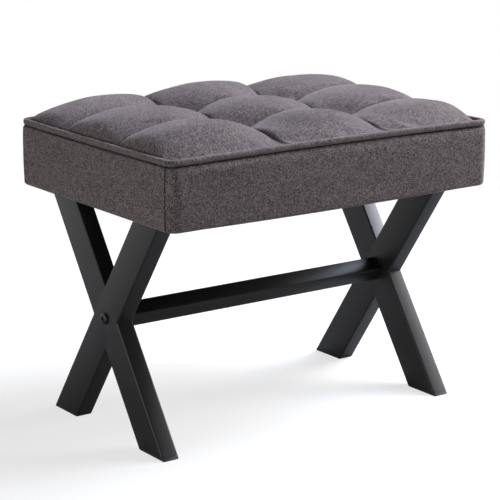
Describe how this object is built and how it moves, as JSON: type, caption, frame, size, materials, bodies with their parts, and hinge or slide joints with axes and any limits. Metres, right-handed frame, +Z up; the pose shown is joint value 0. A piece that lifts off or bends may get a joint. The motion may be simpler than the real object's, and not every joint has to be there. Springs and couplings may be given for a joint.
{
  "type": "upholstered footstool",
  "caption": "Rectangular footstool with a biscuit-tufted box seat, piped top edge and plain side bands, on flat-tube X frames joined by a square rail.",
  "frame": {"origin": "on the floor, under the middle of the seat", "axes": "+X along the longer side of the seat, +Y from its front to its back, +Z up"},
  "size_m": [0.53, 0.38, 0.4416],
  "materials": {
    "seat_cloth": "plain-woven dark grey cloth",
    "foam": "open-cell foam",
    "plywood": "sanded",
    "dust_cloth": "black non-woven cloth",
    "powder_coat": "satin black powder coat",
    "foot_plastic": "matte black",
    "black_steel": "black oxide",
    "zinc": "zinc plated"
  },
  "bodies": {
    "root": {"tufted_top": "seat_cloth", "piping": "seat_cloth", "band_front": "seat_cloth", "band_back": "seat_cloth", "band_left": "seat_cloth", "band_right": "seat_cloth", "foam_core": "foam", "seat_board": "plywood", "dust_cover": "dust_cloth", "rail": "powder_coat", "left_long_leg": "powder_coat", "left_upper_half_leg": "powder_coat", "left_lower_half_leg": "powder_coat", "left_mount_plate": "powder_coat", "right_long_leg": "powder_coat", "right_upper_half_leg": "powder_coat", "right_lower_half_leg": "powder_coat", "right_mount_plate": "powder_coat", "left_long_leg_foot": "foot_plastic", "left_half_leg_foot": "foot_plastic", "right_long_leg_foot": "foot_plastic", "right_half_leg_foot": "foot_plastic", "left_rail_bolt": "black_steel", "right_rail_bolt": "black_steel", "left_rail_insert": "zinc", "right_rail_insert": "zinc", "left_plate_bolt_1": "zinc", "left_plate_bolt_2": "zinc", "left_plate_bolt_3": "zinc", "left_plate_bolt_4": "zinc", "right_plate_bolt_1": "zinc", "right_plate_bolt_2": "zinc", "right_plate_bolt_3": "zinc", "right_plate_bolt_4": "zinc", "left_plate_washer_1": "zinc", "left_plate_washer_2": "zinc", "left_plate_washer_3": "zinc", "left_plate_washer_4": "zinc", "right_plate_washer_1": "zinc", "right_plate_washer_2": "zinc", "right_plate_washer_3": "zinc", "right_plate_washer_4": "zinc", "left_tee_nut_1": "zinc", "left_tee_nut_2": "zinc", "left_tee_nut_3": "zinc", "left_tee_nut_4": "zinc", "right_tee_nut_1": "zinc", "right_tee_nut_2": "zinc", "right_tee_nut_3": "zinc", "right_tee_nut_4": "zinc"}
  },
  "joints": []
}
